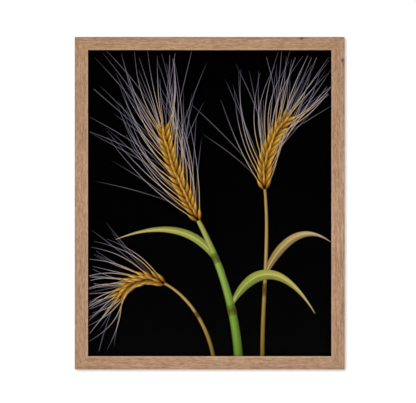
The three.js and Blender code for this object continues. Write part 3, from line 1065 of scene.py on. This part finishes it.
def point_rows():
    """Geometry Nodes that set the tongue along all four rails. A row of tongues is turned to point down
    from the top rail, and then round the picture's middle to its own rail."""
    tree = bpy.data.node_groups.new("point_rows", "GeometryNodeTree")
    tree.interface.new_socket("Tongue", in_out="INPUT", socket_type="NodeSocketGeometry")
    for name in ("Short Rail Pitch", "Short Rail Reach", "Long Rail Pitch", "Long Rail Reach"):
        tree.interface.new_socket(name, in_out="INPUT", socket_type="NodeSocketFloat")
    tree.interface.new_socket("Middle", in_out="INPUT", socket_type="NodeSocketVector")
    tree.interface.new_socket("Steel", in_out="INPUT", socket_type="NodeSocketMaterial")
    tree.interface.new_socket("Points", in_out="OUTPUT", socket_type="NodeSocketGeometry")
    given = add(tree, "NodeGroupInput").outputs
    joined = add(tree, "GeometryNodeJoinGeometry")
    for turn, rail, count in ((0, "Short", 2), (1, "Long", 3), (2, "Short", 2), (3, "Long", 3)):
        first = add(tree, "ShaderNodeMath", {
            0: given[f"{rail} Rail Pitch"],
            1: (1 - count) / 2,
        }, operation="MULTIPLY")
        start = add(tree, "ShaderNodeCombineXYZ", {
            "X": first.outputs[0],
            "Z": given[f"{rail} Rail Reach"],
        })
        step = add(tree, "ShaderNodeCombineXYZ", {"X": given[f"{rail} Rail Pitch"]})
        places = add(tree, "GeometryNodeMeshLine", {
            "Count": count,
            "Start Location": start.outputs[0],
            "Offset": step.outputs[0],
        })
        row = add(tree, "GeometryNodeInstanceOnPoints", {
            "Points": places.outputs[0],
            "Instance": given["Tongue"],
            "Rotation": (0, math.pi / 2, 0),
        })
        side = add(tree, "GeometryNodeTransform", {
            "Geometry": row.outputs[0],
            "Rotation": (0, turn * math.pi / 2, 0),
            "Translation": given["Middle"],
        })
        tree.links.new(side.outputs[0], joined.inputs[0])
    real = add(tree, "GeometryNodeRealizeInstances", {0: joined.outputs[0]})
    steel = add(tree, "GeometryNodeSetMaterial", {
        "Geometry": real.outputs[0],
        "Material": given["Steel"],
    })
    add(tree, "NodeGroupOutput", {"Points": steel.outputs[0]})
    return tree


def set_inputs(modifier, values):
    """Sets a Geometry Nodes modifier's inputs, which their names pick out."""
    for socket in modifier.node_group.interface.items_tree:
        if socket.in_out == "INPUT" and socket.name in values:
            modifier[socket.identifier] = values[socket.name]


# The rows' places come from the boxes of one point in the top rail and one in the right rail.
points = new_object("flexible_points", tongue())
sheet_steel = points.modifiers.new("thickness", "SOLIDIFY")
sheet_steel.thickness = POINT_THICKNESS * MM
sheet_steel.offset = -1
round_edges(points, POINT_ROUNDING * MM)
rows = points.modifiers.new("rows", "NODES")
rows.node_group = point_rows()
top_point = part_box("flexible_point_top_2")
right_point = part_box("flexible_point_right_1")
tail = POINT_TAIL * MM
set_inputs(rows, {
    "Short Rail Pitch": top_point[0].x + top_point[1].x,
    "Short Rail Reach": top_point[1].z - tail - middle.z,
    "Long Rail Pitch": (right_point[0].z + right_point[1].z) / 2 - middle.z,
    "Long Rail Reach": right_point[1].x - tail,
    "Middle": (0, 0, middle.z),
    "Steel": mottled_steel("spring_steel", 0x8A8C90, 0.35),
})
settle(points)
soften(points.data)
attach(points, "root")
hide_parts(*[node for node in nodes if node.startswith("flexible_point")])

# ---- Hanger -----------------------------------------------------------------------------------------
# A toothed strip of zinc-plated steel. Its tabs are pinned to the board, and the bar between them
# stands off it, so that a nail's head goes in behind. The press leaves its edges and bends rounded.

RIM_RADIUS = 0.12 * MM
BEND_RADIUS = 0.6 * MM
BEND_ANGLES = (math.radians(30), math.radians(60))  # its bends lie between these, and its rims above


def rounded_strip(node):
    """A copy of a pressed strip's mesh with its bends and then its rims rounded."""
    shape = bmesh.new()
    shape.from_mesh(nodes[node].data)
    bmesh.ops.remove_doubles(shape, verts=shape.verts, dist=0.01 * MM)
    bmesh.ops.dissolve_limit(shape, angle_limit=math.radians(1), verts=shape.verts, edges=shape.edges)
    bends = [edge for edge in shape.edges if BEND_ANGLES[0] < edge.calc_face_angle(0) < BEND_ANGLES[1]]
    bmesh.ops.bevel(shape, geom=bends, offset=BEND_RADIUS, segments=4, profile=0.5, affect="EDGES")
    rims = [edge for edge in shape.edges if edge.calc_face_angle(0) > BEND_ANGLES[1]]
    bmesh.ops.bevel(shape, geom=rims, offset=RIM_RADIUS, segments=2, profile=0.5, affect="EDGES")
    mesh = bpy.data.meshes.new("rounded_strip")
    shape.to_mesh(mesh)
    return mesh


hanger_mesh = rounded_strip("hanger")
hanger_mesh.materials.clear()
hanger_mesh.materials.append(zinc)
soften(hanger_mesh)
hanger = new_object("toothed_hanger", hanger_mesh)
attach(hanger, "root")
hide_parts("hanger")

# ---- Hanger pins ------------------------------------------------------------------------------------
# Two short brass-plated pins with domed heads, hammered through the tabs into the board.

PIN_SHANK_RADIUS = 1.0 * MM
PIN_TIP_RADIUS = 0.1 * MM
PIN_POINT = 0.6 * MM  # the length of its taper
PIN_HEAD_RADIUS = 2.6 * MM
PIN_HEAD_HEIGHT = 1.2 * MM
PIN_RIM = 0.15 * MM  # the radius of its head's rim
RIM_ANGLES = np.radians((-90, -60, -30, 0))
DOME_ANGLES = np.radians(np.linspace(7, 84, 12))
PIN_SIDES = 40


def pin_profile(tip, top):
    """A pin's radii and depths, from its point to the crown of its head."""
    rim = top - PIN_HEAD_HEIGHT + PIN_RIM
    profile = [
        (PIN_TIP_RADIUS, tip),
        (PIN_SHANK_RADIUS, tip + PIN_POINT),
        (PIN_SHANK_RADIUS, rim - PIN_RIM),
    ]
    for angle in RIM_ANGLES:
        outward, upward = math.cos(angle), math.sin(angle)
        profile.append((PIN_HEAD_RADIUS - PIN_RIM + PIN_RIM * outward, rim + PIN_RIM * upward))
    for angle in DOME_ANGLES:
        profile.append((PIN_HEAD_RADIUS * math.cos(angle), rim + (top - rim) * math.sin(angle)))
    return profile


def turned_pins():
    """Both pins, each a profile turned round its axis."""
    shape = bmesh.new()
    for node in ("hanger_pin_left", "hanger_pin_right"):
        low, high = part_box(node)
        centre = (low + high) / 2
        rings = []
        for radius, y in pin_profile(low.y, high.y):
            ring = []
            for turn in np.arange(PIN_SIDES) * 2 * math.pi / PIN_SIDES:
                place = (centre.x + radius * math.cos(turn), y, centre.z + radius * math.sin(turn))
                ring.append(shape.verts.new(place))
            rings.append(ring)
        for near, far in zip(rings, rings[1:]):
            for i in range(PIN_SIDES):
                j = (i + 1) % PIN_SIDES
                shape.faces.new((near[i], near[j], far[j], far[i]))
        shape.faces.new(rings[0])
        shape.faces.new(rings[-1])
    bmesh.ops.recalc_face_normals(shape, faces=shape.faces)
    mesh = bpy.data.meshes.new("turned_pins")
    shape.to_mesh(mesh)
    return mesh


pins = new_object("hanger_pins", turned_pins())
pins.data.materials.append(mottled_steel("brass_plated_steel", 0xCFAE68, 0.25))
soften(pins.data, 40)
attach(pins, "root")
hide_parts("hanger_pin_left", "hanger_pin_right")
